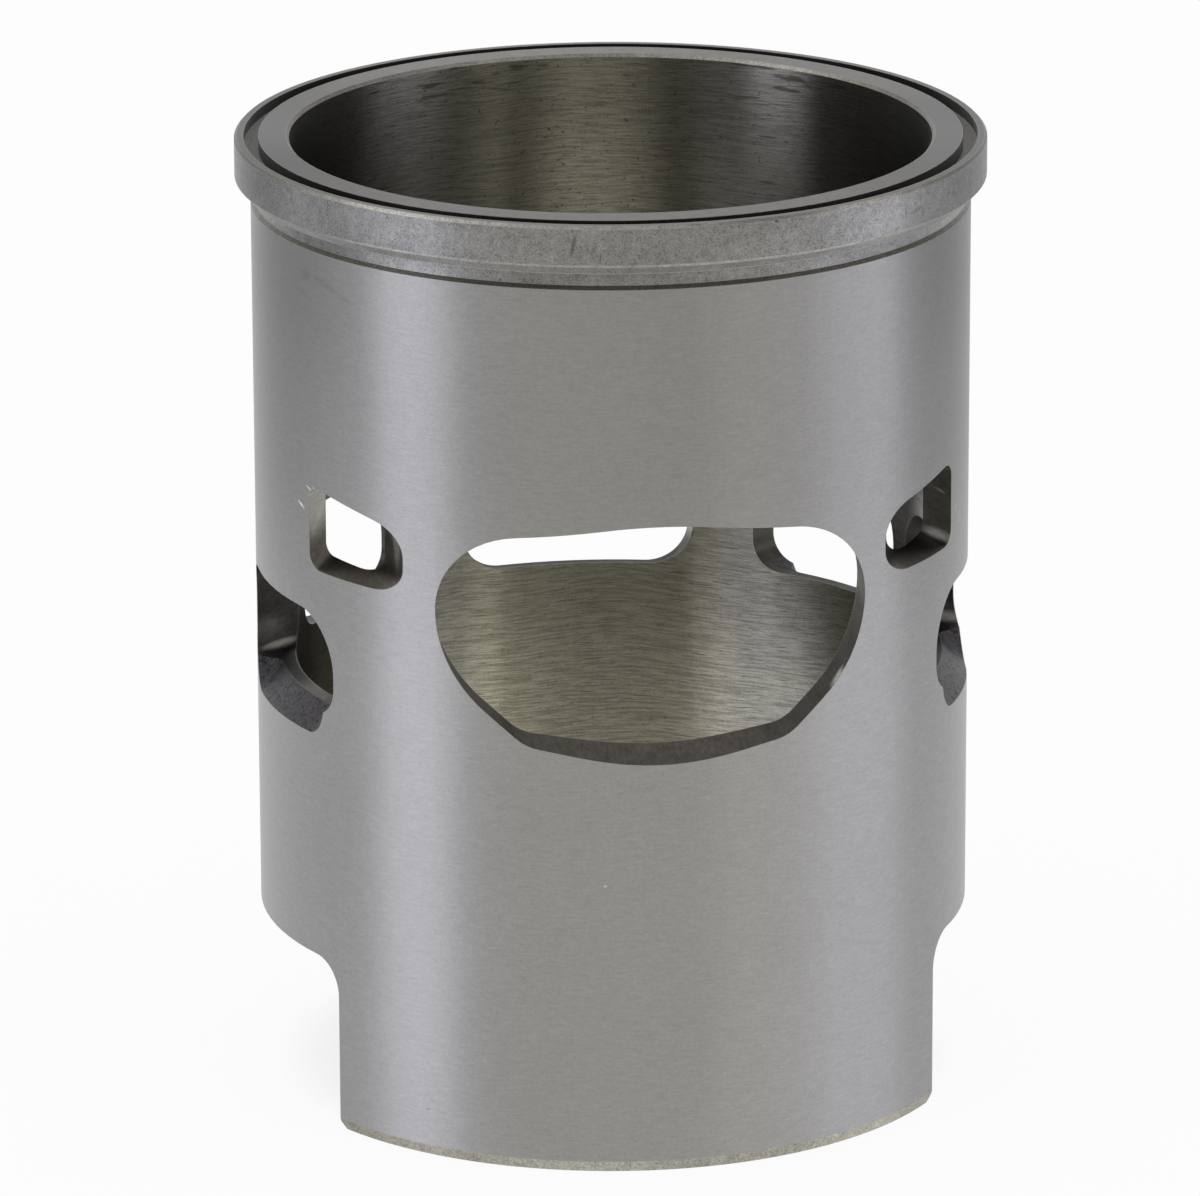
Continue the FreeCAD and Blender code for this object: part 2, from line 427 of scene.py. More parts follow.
@dataclass(frozen=True)
class PaintedLightBands:
    """Upright bands of painted light and shade on a round wall.

    Attributes:
        levels: Angle and brightness of each step, from -180 to 180 degrees.
    """

    levels: Sequence[tuple[float, float]] = ((-180.0, 1.0), (180.0, 1.0))

    def draw(self, at: Surroundings) -> Socket:
        """Draws the bands.

        Args:
            at: Measurements of the surface.

        Returns:
            The painted brightness.
        """
        w = at.wiring
        brightest = max(level for _, level in self.levels)
        node = w.node("ShaderNodeValToRGB")
        ramp = node.color_ramp
        ramp.interpolation = "CARDINAL"
        for step in range(len(self.levels) - 2):
            ramp.elements.new((step + 1) / len(self.levels))
        for element, (angle, level) in zip(ramp.elements, self.levels):
            element.position = (angle + 180.0) / 360.0
            element.color = (level / brightest,) * 3 + (1.0,)
        w.feed(node.inputs[0], w.total(0.5, (0.5 / math.pi, at.turn)))
        return w.times(w.separate(node.outputs["Color"])[0], brightest)


@dataclass
class Look:
    """What a finish gives: its colour, roughness, relief in millimetres and share of bare metal."""

    colour: Socket
    roughness: Socket
    relief: Socket
    metal: Number = 1.0


@dataclass(frozen=True)
class Finish:
    """One way in which the iron's surface is made.

    Attributes:
        colour: Its colour, before grain and painted light bands.
        roughness: Its roughness, before grain.
    """

    colour: Colour = (0.25, 0.25, 0.24)
    roughness: float = 0.42

    def draw(self, at: Surroundings) -> Look:
        """Draws the finish.

        Args:
            at: Measurements of the surface.

        Returns:
            Its look.
        """
        raise NotImplementedError


@dataclass(frozen=True)
class GroundOutside(Finish):
    """Cylindrically ground outside of the body: even, satin and finely grained, with painted light and shade."""

    colour: Colour = (0.338, 0.333, 0.336)
    middle_colour: Colour = (0.341, 0.334, 0.317)
    middle_reach: Range = (0.30, 0.62)
    roughness: float = 0.47
    wall_radius: float = 46.0
    smear_colour: Colour = (0.05, 0.048, 0.045)
    scratch_colour: Colour = (0.80, 0.79, 0.76)
    smears: Sequence[Mark] = (
        Mark(-63.2, 112.3, 1.6, 1.1, 20.0, 0.26),
        Mark(-57.8, 111.9, 4.0, 0.7, -14.0, 0.22),
        Mark(-53.0, 110.8, 3.0, 0.5, -10.0, 0.16),
        Mark(-64.8, 110.0, 2.4, 0.6, -8.0, 0.16),
        Mark(43.3, 63.0, 0.28, 0.28, 0.0, 0.55),
        Mark(-37.7, 6.2, 0.55, 0.16, 18.0, 0.50),
    )
    scratches: Sequence[Mark] = (
        Mark(-8.1, 38.3, 0.30, 0.22, 0.0, 0.60),
        Mark(-63.0, 84.5, 1.1, 0.17, -22.0, 0.80),
        Mark(-61.5, 84.7, 0.6, 0.14, -30.0, 0.65),
        Mark(-65.4, 81.9, 1.2, 0.28, -26.0, 0.95),
        Mark(65.6, 78.4, 1.2, 0.08, 52.0, 0.45),
        Mark(67.4, 77.0, 1.0, 0.08, 40.0, 0.45),
        Mark(68.3, 75.9, 0.8, 0.08, 30.0, 0.40),
    )
    # Painted reflections and shade, as upright bands round the upper body; the lower body is painted brighter.
    painted_upper_light: PaintedLightBands = PaintedLightBands((
        (-180.0, 0.95), (-110.0, 0.90), (-86.0, 0.78), (-72.0, 0.72), (-53.0, 0.98), (10.0, 0.93), (28.0, 0.88),
        (42.0, 0.96), (54.0, 0.80), (66.0, 0.68), (85.0, 0.74), (110.0, 0.90), (180.0, 0.95),
    ))
    painted_lower_light: float = 1.07
    # Heights between which the painted lower light gives way to the painted upper light, and the flange's painted
    # shade gathers.
    light_change: Range = (55.0, 95.0)
    shade_reach: Range = (92.0, 113.0)
    # Painted shade of the flange, as bands round the top of the body.
    painted_flange_shade: PaintedLightBands = PaintedLightBands((
        (-180.0, 0.90), (-90.0, 0.84), (-60.0, 0.84), (-46.0, 1.00), (40.0, 1.00), (56.0, 0.82), (84.0, 0.78),
        (180.0, 0.90),
    ))

    def draw(self, at: Surroundings) -> Look:
        """Draws the finish.

        Args:
            at: Measurements of the surface.

        Returns:
            Its look.
        """
        w = at.wiring
        lines = w.noise(at.drawn_round(0.55, 3.4), roughness=0.6)
        grain = w.noise(at.place, scale=2.6, roughness=0.7)
        mottle = w.noise(at.place, scale=0.42, roughness=0.6)
        cloud = w.noise(at.place, scale=0.045, detail=3.0, roughness=0.55)
        tone = w.total(0.60, (0.26, lines), (0.28, grain), (0.12, mottle), (0.14, cloud))
        # Painted light and shade, multiplied into the colour.
        light = w.mix(w.ease(at.height, *self.light_change), self.painted_lower_light, self.painted_upper_light.draw(at))
        light = w.times(light, w.mix(w.ease(at.height, *self.shade_reach), 1.0, self.painted_flange_shade.draw(at)))
        middle = at.warm_share(self.middle_reach)
        colour = w.toned(w.blend(middle, self.colour, self.middle_colour), w.times(tone, light))
        smeared = w.times(all_marks(at, self.wall_radius, self.smears), w.ease(lines, low=0.35, high=0.6))
        colour = w.blend(smeared, colour, self.smear_colour)
        colour = w.blend(all_marks(at, self.wall_radius, self.scratches), colour, self.scratch_colour)
        roughness = w.total(self.roughness - 0.04, (0.04, cloud), (0.04, mottle))
        return Look(colour, roughness, w.total(0.0, (0.0016, lines), (0.0016, grain)))


@dataclass(frozen=True)
class TurnedFlange(Finish):
    """Coarsely turned flange and undercut, speckled and mottled, with painted light and shade in bands."""

    colour: Colour = (0.275, 0.270, 0.270)
    middle_colour: Colour = (0.278, 0.272, 0.255)
    middle_reach: Range = (0.25, 0.60)
    roughness: float = 0.46
    wall_radius: float = 48.0
    stain_colour: Colour = (0.035, 0.033, 0.030)
    stains: Sequence[Mark] = (
        Mark(-12.4, 121.9, 2.3, 0.40, 78.0, 0.55),
        Mark(-9.3, 121.7, 1.1, 0.32, 76.0, 0.40),
        Mark(6.9, 120.6, 0.8, 0.8, 0.0, 0.22),
        Mark(18.2, 123.9, 0.45, 0.4, 0.0, 0.85),
        Mark(43.0, 121.6, 0.4, 1.6, 0.0, 0.36),
        Mark(45.6, 121.4, 2.4, 0.4, 8.0, 0.38),
        Mark(46.6, 122.8, 0.4, 1.2, 0.0, 0.32),
    )
    # Painted reflections and shade, as bands round the flange.
    light: PaintedLightBands = PaintedLightBands((
        (-180.0, 0.95), (-110.0, 0.70), (-84.0, 0.55), (-72.0, 0.60), (-60.0, 0.98), (-42.0, 0.85), (-28.0, 1.08),
        (6.0, 0.94), (25.0, 1.00), (43.0, 1.02), (60.0, 0.64), (76.0, 0.44), (110.0, 0.70), (180.0, 0.95),
    ))

    def draw(self, at: Surroundings) -> Look:
        """Draws the finish.

        Args:
            at: Measurements of the surface.

        Returns:
            Its look.
        """
        w = at.wiring
        speckle = w.noise(at.place, scale=4.6, detail=1.5, roughness=0.8)
        mottle = w.noise(at.place, scale=0.9, detail=3.0, roughness=0.6)
        patches = w.noise(at.drawn_round(0.10, 0.22))
        pits = w.ease(w.noise(at.place, scale=2.6, detail=1.0), low=0.64, high=0.74)
        tone = w.total(-0.29, (1.50, speckle), (0.55, mottle), (0.52, patches))
        middle = at.warm_share(self.middle_reach)
        colour = w.toned(w.blend(middle, self.colour, self.middle_colour), w.times(tone, self.light.draw(at)))
        worn = w.times(all_marks(at, self.wall_radius, self.stains), w.ease(mottle, low=0.30, high=0.55))
        dark = w.math("MAXIMUM", worn, w.times(pits, 0.45))
        colour = w.blend(dark, colour, self.stain_colour)
        roughness = w.total(self.roughness + 0.04, (-0.10, mottle), (0.04, speckle))
        return Look(colour, roughness, w.total(0.0, (0.014, mottle), (0.008, speckle)))


@dataclass(frozen=True)
class Undercut(TurnedFlange):
    """Undercut below the flange, with painted light that makes it lighter than the flange at the sides."""

    light: PaintedLightBands = PaintedLightBands((
        (-180.0, 0.95), (-100.0, 0.95), (-76.0, 1.05), (-58.0, 0.82), (-48.0, 0.98), (-38.0, 1.06), (-24.0, 1.02),
        (6.0, 0.97), (24.0, 0.98), (42.0, 1.02), (62.0, 1.36), (85.0, 0.95), (110.0, 0.90), (180.0, 0.95),
    ))


@dataclass(frozen=True)
class UndercutStep(TurnedFlange):
    """Step below the undercut, painted dark as the shade under the flange, with painted light at the sides."""

    # The dark colours are painted shade from the flange above.
    colour: Colour = (0.105, 0.101, 0.088)
    middle_colour: Colour = (0.105, 0.101, 0.080)
    light: PaintedLightBands = PaintedLightBands((
        (-180.0, 1.00), (-90.0, 2.10), (-62.0, 1.70), (-36.0, 1.15), (36.0, 1.15), (62.0, 1.70), (88.0, 2.10),
        (180.0, 1.00),
    ))


@dataclass(frozen=True)
class FacedLand(Finish):
    """Faced top: smooth, with rings of very fine feed marks."""

    colour: Colour = (0.235, 0.229, 0.223)
    roughness: float = 0.40
    # Painted reflections and shade, as bands round the land.
    light: PaintedLightBands = PaintedLightBands((
        (-180.0, 1.15), (-140.0, 0.92), (-92.0, 0.18), (-60.0, 0.60), (-30.0, 0.92),
        (30.0, 0.84), (60.0, 0.44), (86.0, 0.22), (115.0, 0.80), (150.0, 1.00), (180.0, 1.15),
    ))

    def draw(self, at: Surroundings) -> Look:
        """Draws the finish.

        Args:
            at: Measurements of the surface.

        Returns:
            Its look.
        """
        w = at.wiring
        rings = w.noise(w.combine(w.times(at.radius, 4.0), 0.0, 0.0), roughness=0.6)
        speckle = w.noise(at.place, scale=2.4, roughness=0.7)
        mottle = w.noise(at.place, scale=0.5, roughness=0.6)
        tone = w.total(0.50, (0.18, rings), (0.54, speckle), (0.28, mottle))
        colour = w.toned(self.colour, w.times(tone, self.light.draw(at)))
        return Look(colour, w.total(self.roughness, (0.05, speckle)), w.total(0.0, (0.002, rings), (0.004, speckle)))


@dataclass(frozen=True)
class GrooveWall(Finish):
    """Walls of the sealing ring's groove: dark iron, painted black with the shade of the narrow groove."""

    # Black colour: dark iron with painted shade.
    colour: Colour = (0.030, 0.028, 0.026)
    roughness: float = 0.55

    def draw(self, at: Surroundings) -> Look:
        """Draws the finish.

        Args:
            at: Measurements of the surface.

        Returns:
            Its look.
        """
        w = at.wiring
        speckle = w.noise(at.place, scale=2.0, roughness=0.7)
        colour = w.toned(self.colour, w.total(0.5, (1.0, speckle)))
        return Look(colour, w.total(self.roughness, (0.05, speckle)), w.times(speckle, 0.006))


@dataclass(frozen=True)
class GrooveFloor(GrooveWall):
    """Floor of the sealing ring's groove, as pale as the land."""

    colour: Colour = (0.270, 0.263, 0.252)


@dataclass(frozen=True)
class BoredWall(Finish):
    """Finish-bored wall with fine wavy chatter, short dark dashes and open graphite pores."""

    colour: Colour = (0.335, 0.318, 0.240)
    side_colour: Colour = (0.330, 0.320, 0.288)
    pore_colour: Colour = (0.045, 0.042, 0.034)
    roughness: float = 0.30
    # How far the chatter wavers up and down, and the angles in radians where the wall behind starts.
    waver: float = 4.0
    behind_reach: Range = (2.55, 2.85)
    # Heights between which pores get full strength, and scuffs appear.
    pore_reach: Range = (60.0, 100.0)
    lower_pores: float = 0.45
    scuffed: Range = (117.0, 121.0)
    # Painted reflections and shade, as bands round the upper bore.
    painted_upper_light: PaintedLightBands = PaintedLightBands((
        (-180.0, 0.84), (-170.0, 0.52), (-165.0, 0.64), (-157.0, 0.47), (-146.0, 0.80), (-134.0, 0.40),
        (-120.0, 0.25), (-90.0, 0.30), (-50.0, 0.60), (50.0, 0.60), (90.0, 0.30), (118.0, 0.25),
        (131.0, 0.35), (140.0, 0.82), (150.0, 0.64), (160.0, 0.41), (170.0, 0.68), (180.0, 0.84),
    ))
    # Heights between which the painted light changes, and its painted levels at the foot, at the top and elsewhere.
    light_change: Range = (54.0, 88.0)
    foot_reach: Range = (36.0, 54.0)
    top_reach: Range = (108.0, 119.0)
    foot_level: float = 1.24
    top_level: float = 1.14
    level: float = 0.98
    # Painted reflections and shade, as bands round the lower bore.
    painted_lower_light: PaintedLightBands = PaintedLightBands((
        (-180.0, 0.86), (-172.0, 1.14), (-165.0, 1.38), (-158.0, 1.06), (-142.0, 0.78), (-120.0, 0.45),
        (-90.0, 0.40), (50.0, 0.70), (88.0, 0.50), (97.0, 0.80), (105.0, 0.16), (117.0, 0.40), (134.0, 1.22),
        (145.0, 1.16), (152.0, 1.30), (160.0, 0.98), (171.0, 0.84), (180.0, 0.86),
    ))

    def draw(self, at: Surroundings) -> Look:
        """Draws the finish.

        Args:
            at: Measurements of the surface.

        Returns:
            Its look.
        """
        w = at.wiring
        across, depth, _ = w.separate(at.place)
        drift = w.noise(at.drawn_round(0.035, 0.03), detail=1.0)
        lifted = w.total(0.0, (1.0, at.height), (self.waver, drift))
        chatter_at = w.combine(w.times(across, 0.17), w.times(depth, 0.17), w.times(lifted, 3.4))
        chatter = w.noise(chatter_at, detail=1.5, roughness=0.55)
        strokes = w.ease(chatter, low=0.36, high=0.62)
        dashes = w.ease(chatter, low=0.62, high=0.70)
        fine_at = w.combine(w.times(across, 0.8), w.times(depth, 0.8), w.times(lifted, 7.4))
        fine = w.noise(fine_at, roughness=0.65)
        grain = w.noise(at.place, scale=4.6, detail=1.0, roughness=0.6)
        pores = w.ease(w.noise(at.drawn_round(1.7, 2.6), detail=1.0), low=0.67, high=0.74)
        pores = w.times(pores, w.ease(at.height, *self.pore_reach, start=self.lower_pores))
        near_top = w.ease(at.height, *self.scuffed)
        scuffs = w.ease(w.noise(at.drawn_round(0.16, 1.3), detail=1.0), low=0.62, high=0.70)
        bands = w.noise(at.drawn_round(0.09, 0.006), detail=1.0)
        tone = w.total(-0.04, (0.36, strokes), (0.80, fine), (0.50, grain), (0.26, bands))
        behind = w.ease(w.math("ABSOLUTE", at.turn), *self.behind_reach)
        colour = w.blend(behind, self.side_colour, self.colour)
        # Painted light and shade from the bands.
        colour = w.toned(colour, w.times(tone, self.light(at)))
        dark = w.math("MAXIMUM", w.times(dashes, 0.55), w.times(pores, 0.7))
        dark = w.math("MAXIMUM", dark, w.times(w.times(scuffs, near_top), 0.7))
        colour = w.blend(dark, colour, self.pore_colour)
        relief = w.total(0.0, (0.006, strokes), (0.004, fine), (0.003, grain))
        return Look(colour, w.total(self.roughness + 0.03, (-0.04, strokes), (0.03, grain)), relief)

    def light(self, at: Surroundings) -> Socket:
        """Draws the painted light and shade bands, which change on the way down.

        Args:
            at: Measurements of the surface.

        Returns:
            The painted brightness.
        """
        w = at.wiring
        at_the_foot = w.ease(at.height, *self.foot_reach, self.foot_level, self.level)
        at_the_top = w.ease(at.height, *self.top_reach, self.top_level, self.level)
        lower = w.times(self.painted_lower_light.draw(at), at_the_foot)
        upper = w.times(self.painted_upper_light.draw(at), at_the_top)
        return w.mix(w.ease(at.height, *self.light_change), lower, upper)


@dataclass(frozen=True)
class MilledPort(Finish):
    """Milled port walls, brown from the heat of the cut, marked along the cutter, with painted highlights and painted
    shade.
    """

    colour: Colour = (0.225, 0.206, 0.184)
    roughness: float = 0.42
    wall_radius: float = 43.5
    # Painted highlights and reflections on the port walls: their colour, how far they leave the bare metal, and where
    # they lie.
    painted_highlight_colour: Colour = (0.80, 0.79, 0.73)
    painted_highlight_matt: float = 0.9
    # Painted shade, as a darker band between 44 and 90 degrees round the liner.
    light: PaintedLightBands = PaintedLightBands(((-180.0, 1.0), (44.0, 1.0), (56.0, 0.55), (76.0, 0.55), (90.0, 1.0), (180.0, 1.0)))
    painted_highlights: Sequence[Mark] = (
        Mark(-66.0, 81.7, 6.0, 7.0, 90.0, 1.00),
        Mark(-44.5, 79.2, 3.6, 2.0, 90.0, 0.25),
        Mark(31.6, 62.5, 2.2, 0.5, 42.0, 0.60),
        Mark(-97.3, 55.85, 3.2, 0.45, -5.0, 0.45),
        Mark(-97.5, 57.8, 4.0, 2.2, -5.0, 0.09),
        Mark(-70.0, 55.25, 8.0, 0.5, 0.0, 0.24),
        Mark(96.0, 56.2, 2.6, 0.9, 0.0, 0.26),
        Mark(64.5, 74.7, 3.4, 0.8, 0.0, 0.36),
        Mark(65.3, 80.3, 1.3, 0.3, 8.0, 0.25),
    )

    def draw(self, at: Surroundings) -> Look:
        """Draws the finish.

        Args:
            at: Measurements of the surface.

        Returns:
            Its look.
        """
        w = at.wiring
        flutes = w.noise(at.drawn_through(2.2, 0.35), roughness=0.6)
        speckle = w.noise(at.place, scale=2.6, roughness=0.75)
        patches = w.noise(at.place, scale=0.35, roughness=0.6)
        tone = w.total(-0.10, (0.90, flutes), (0.70, speckle), (0.60, patches))
        colour = w.toned(self.colour, w.times(tone, self.light.draw(at)))
        # Painted highlights, broken up along the cutter's flutes.
        painted_highlight = w.times(all_marks(at, self.wall_radius, self.painted_highlights), w.total(0.5, (1.0, flutes)))
        painted_highlight = w.math("MINIMUM", painted_highlight, 1.0)
        colour = w.blend(painted_highlight, colour, self.painted_highlight_colour)
        roughness = w.total(self.roughness + 0.04, (-0.12, patches), (0.04, speckle))
        relief = w.total(0.0, (0.012, flutes), (0.010, speckle))
        return Look(colour, roughness, relief, w.total(1.0, (-self.painted_highlight_matt, painted_highlight)))


@dataclass(frozen=True)
class PaintedShadePort(MilledPort):
    """Lower milled walls, painted dark as the shade where less light comes, and darker still at the sides."""

    # Dark colour and side bands: painted shade.
    colour: Colour = (0.104, 0.096, 0.084)
    light: PaintedLightBands = PaintedLightBands(((-180.0, 0.55), (-58.0, 0.55), (-46.0, 1.0), (46.0, 1.0), (58.0, 0.55), (180.0, 0.55)))


@dataclass(frozen=True)
class RoughRamp(Finish):
    """Grainy dark grey ramps of the transfer ports, left from the casting."""

    colour: Colour = (0.094, 0.088, 0.096)
    hollow_colour: Colour = (0.025, 0.024, 0.024)
    roughness: float = 0.5

    def draw(self, at: Surroundings) -> Look:
        """Draws the finish.

        Args:
            at: Measurements of the surface.

        Returns:
            Its look.
        """
        w = at.wiring
        grain = w.noise(at.place, scale=2.2, detail=3.0, roughness=0.8)
        hollows = w.ease(w.noise(at.place, scale=1.5, roughness=0.6), low=0.56, high=0.64)
        colour = w.toned(self.colour, w.total(-0.10, (2.2, grain)))
        colour = w.blend(w.times(hollows, 0.6), colour, self.hollow_colour)
        return Look(colour, w.total(self.roughness, (0.08, grain)), w.total(0.0, (0.06, grain), (-0.08, hollows)))


@dataclass(frozen=True)
class PaintedHighlightChamfer(Finish):
    """Chamfers with a painted highlight, paler and yellower than the rest, and a torn grain."""

    # Pale colour: painted highlight.
    colour: Colour = (0.430, 0.415, 0.355)
    roughness: float = 0.46
    light: PaintedLightBands = PaintedLightBands()

    def draw(self, at: Surroundings) -> Look:
        """Draws the finish.

        Args:
            at: Measurements of the surface.

        Returns:
            Its look.
        """
        w = at.wiring
        grain = w.noise(at.place, scale=3.4, roughness=0.75)
        patches = w.noise(at.place, scale=0.5, detail=1.0)
        tone = w.times(w.total(-0.08, (1.70, grain), (0.45, patches)), self.light.draw(at))
        colour = w.toned(self.colour, tone)
        return Look(colour, w.total(self.roughness, (0.05, grain)), w.times(grain, 0.02))


@dataclass(frozen=True)
class RimChamfer(PaintedHighlightChamfer):
    """Chamfer round the top of the rim, with a painted highlight in front that dulls at the sides."""

    colour: Colour = (0.425, 0.412, 0.370)
    light: PaintedLightBands = PaintedLightBands((
        (-180.0, 0.80), (-94.0, 0.32), (-72.0, 0.38), (-62.0, 0.62), (-50.0, 1.02), (-30.0, 1.22), (-14.0, 0.90),
        (2.0, 0.84), (18.0, 0.46), (34.0, 0.82), (50.0, 0.42), (74.0, 0.28), (100.0, 0.40), (180.0, 0.80),
    ))


@dataclass(frozen=True)
class LeadIn(PaintedHighlightChamfer):
    """Chamfers round the foot of the skirt, with a painted highlight in bands round them."""

    light: PaintedLightBands = PaintedLightBands((
        (-180.0, 0.90), (-60.0, 0.76), (-30.0, 0.84), (-20.0, 1.06), (-6.0, 1.12), (4.0, 0.95), (24.0, 0.93),
        (34.0, 1.02), (60.0, 0.90), (180.0, 0.90),
    ))


@dataclass(frozen=True)
class FlangeChamfer(PaintedHighlightChamfer):
    """Edges of the chamfer under the flange, painted as highlight lines that dim towards the sides."""

    colour: Colour = (0.415, 0.405, 0.375)
    light: PaintedLightBands = PaintedLightBands((
        (-180.0, 0.90), (-90.0, 0.50), (-62.0, 0.60), (-46.0, 0.80), (0.0, 1.00),
        (40.0, 0.80), (52.0, 0.62), (66.0, 0.30), (90.0, 0.35), (180.0, 0.90),
    ))


@dataclass(frozen=True)
class DimChamfer(PaintedHighlightChamfer):
    """Bore's top chamfer, hardly lighter than the bore but for a painted highlight on a stretch behind."""

    colour: Colour = (0.200, 0.192, 0.170)
    light: PaintedLightBands = PaintedLightBands((
        (-180.0, 1.45), (-165.0, 1.60), (-150.0, 1.10), (-130.0, 0.92), (-112.0, 0.80), (-80.0, 1.00), (80.0, 1.00),
        (112.0, 1.15), (124.0, 1.80), (138.0, 2.40), (152.0, 2.20), (168.0, 1.70), (180.0, 1.45),
    ))


@dataclass(frozen=True)
class Zone:
    """A finish and the part of the liner that it covers.

    Attributes:
        finish: The finish.
        radii: Radii that it lies between.
        heights: Heights that it lies between.
        edge: How wide the change at its edges is.
        facing: Which faces it covers.
        behind: How far back it starts, along +Y.
    """

    finish: Finish
    radii: Range
    heights: Range
    edge: float = 0.06
    facing: Facing = Facing.ANY
    behind: float = -FAR_OUT

    def mask(self, at: Surroundings) -> Socket:
        """Draws the zone's mask.

        Args:
            at: Measurements of the surface.

        Returns:
            1 inside the zone and 0 outside it.
        """
        w = at.wiring
        inside = w.times(w.between(at.radius, *self.radii, self.edge), w.between(at.height, *self.heights, self.edge))
        if self.facing is Facing.UP:
            inside = w.times(inside, w.ease(at.up_facing, low=0.35, high=0.6))
        if self.behind > -FAR_OUT:
            inside = w.times(inside, w.math("GREATER_THAN", at.depth, self.behind))
        return inside


@dataclass
class CylinderLiner:
    """The liner itself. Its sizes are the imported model's, in millimetres."""

    # The solid, and its main sizes.
    node: bpy.types.Object
    bore_radius: float = 41.0
    body_radius: float = 46.0
    flange_radius: float = 48.0
    height: float = 124.3
    ground_top: float = 115.7
    step_height: float = 0.5
    flange_underside: float = 117.95
    flange_chamfer: float = 1.3
    rim_chamfer: float = 0.35
    groove_radii: Range = (44.9, 46.8)
    groove_depth: float = 1.8
    lead_in_height: float = 1.4
    transfer_floor: float = 55.25
    transfer_roof: float = 71.5
    ramps_behind: float = -30.0
    # How the tools leave the iron: drawn out round the axis, with broken edges that carry a painted highlight.
    anisotropy: float = 0.9
    along_the_tool: float = 0.25
    tool_lift: float = 0.03
    edge_break: float = 0.12
    edge_likeness: Range = (0.90, 0.99)
    edge_highlight_share: float = 0.70
    edge_highlight_colour: Colour = (0.44, 0.425, 0.37)

    def zones(self) -> list[Zone]:
        """Lists the finishes in the order that they are laid over each other.

        A zone reaches a little past its faces, so that it covers them to their edges.

        Returns:
            The zones, each of which covers those before it.
        """
        bore, body, flange, top = self.bore_radius, self.body_radius, self.flange_radius, self.height
        step, underside = self.ground_top + self.step_height - 0.03, self.flange_underside
        chamfer, chamfer_top = flange - self.flange_chamfer, underside + self.flange_chamfer
        groove_in, groove_out = self.groove_radii
        groove_floor = top - self.groove_depth - 0.1
        ramps = (self.transfer_floor - 5.0, self.transfer_floor + 0.15)
        return [
            Zone(MilledPort(), (0.0, FAR_OUT), (BELOW, FAR_OUT)),
            Zone(PaintedShadePort(), (0.0, FAR_OUT), (BELOW, self.transfer_roof), edge=3.0),
            Zone(RoughRamp(), (bore + 1.75, body + 0.1), ramps, 0.3, Facing.UP, self.ramps_behind),
            Zone(GroundOutside(), (body - 0.08, body + 0.4), (BELOW, self.ground_top)),
            Zone(TurnedFlange(), (body - 0.6, FAR_OUT), (step, top - 0.02)),
            Zone(Undercut(), (body - 0.6, chamfer), (step, underside)),
            Zone(UndercutStep(), (body - 0.6, body + 0.2), (self.ground_top, step)),
            Zone(FlangeChamfer(), (chamfer - 0.05, flange - 0.9), (underside - 0.02, underside + 0.13)),
            Zone(FlangeChamfer(), (flange - 0.3, FAR_OUT), (chamfer_top - 0.22, chamfer_top + 0.14)),
            Zone(BoredWall(), (0.0, bore + 0.1), (BELOW, top - 0.4)),
            Zone(FacedLand(), (bore + 0.35, FAR_OUT), (top - 0.05, FAR_OUT)),
            Zone(RimChamfer(), (flange - self.rim_chamfer, FAR_OUT), (top - self.rim_chamfer - 0.05, FAR_OUT)),
            Zone(GrooveWall(), (groove_in - 0.05, groove_out + 0.05), (groove_floor, top - 0.06)),
            Zone(GrooveFloor(), (groove_in, groove_out), (groove_floor, top - 1.0), facing=Facing.UP),
            Zone(DimChamfer(), (0.0, bore + 0.42), (top - 0.42, top - 0.02)),
            Zone(LeadIn(), (body - 0.45, body + 0.1), (BELOW, self.lead_in_height)),
            Zone(LeadIn(), (0.0, bore + 0.62), (BELOW, self.lead_in_height)),
        ]

    def dress(self) -> None:
        """Gives the liner one iron material that carries all its finishes."""
        material = bpy.data.materials.new("grey_iron")
        material.use_nodes = True
        w = Wiring(material.node_tree)
        at = Surroundings.read(w)
        first, *others = self.zones()
        look = first.finish.draw(at)
        colour, roughness, relief, metal = look.colour, look.roughness, look.relief, look.metal
        for zone in others:
            look = zone.finish.draw(at)
            share = zone.mask(at)
            colour = w.blend(share, colour, look.colour)
            roughness = w.mix(share, roughness, look.roughness)
            relief = w.mix(share, relief, look.relief)
            metal = w.mix(share, metal, look.metal)
        broken, edge = self.broken_edges(w)
        # Painted highlight along every sharp edge.
        colour = w.blend(w.times(edge, self.edge_highlight_share), colour, self.edge_highlight_colour)
        bump = w.node("ShaderNodeBump")
        bump.inputs["Distance"].default_value = MM
        w.feed(bump.inputs["Height"], relief)
        w.feed(bump.inputs["Normal"], broken)
        shader = w.node("ShaderNodeBsdfPrincipled")
        shader.inputs["Anisotropic"].default_value = self.anisotropy
        shader.inputs["Anisotropic Rotation"].default_value = self.along_the_tool
        w.feed(shader.inputs["Base Color"], colour)
        w.feed(shader.inputs["Metallic"], metal)
        w.feed(shader.inputs["Roughness"], roughness)
        w.feed(shader.inputs["Normal"], bump.outputs["Normal"])
        w.feed(shader.inputs["Tangent"], self.tool_direction(at))
        output = w.node("ShaderNodeOutputMaterial")
        w.feed(output.inputs["Surface"], shader.outputs["BSDF"])
        self.node.data.materials.clear()
        self.node.data.materials.append(material)

    def broken_edges(self, w: Wiring) -> tuple[Socket, Socket]:
        """Breaks every sharp edge very slightly.

        Args:
            w: The material's wiring.

        Returns:
            The normal that goes round the edges, and a mask of where they are.
        """
        broken = w.node("ShaderNodeBevel", samples=4)
        broken.inputs["Radius"].default_value = self.edge_break * MM
        flat = w.node("ShaderNodeNewGeometry")
        likeness = w.vector("DOT_PRODUCT", broken.outputs["Normal"], flat.outputs["Normal"])
        return broken.outputs["Normal"], w.ease(likeness, *self.edge_likeness, start=1.0, end=0.0)

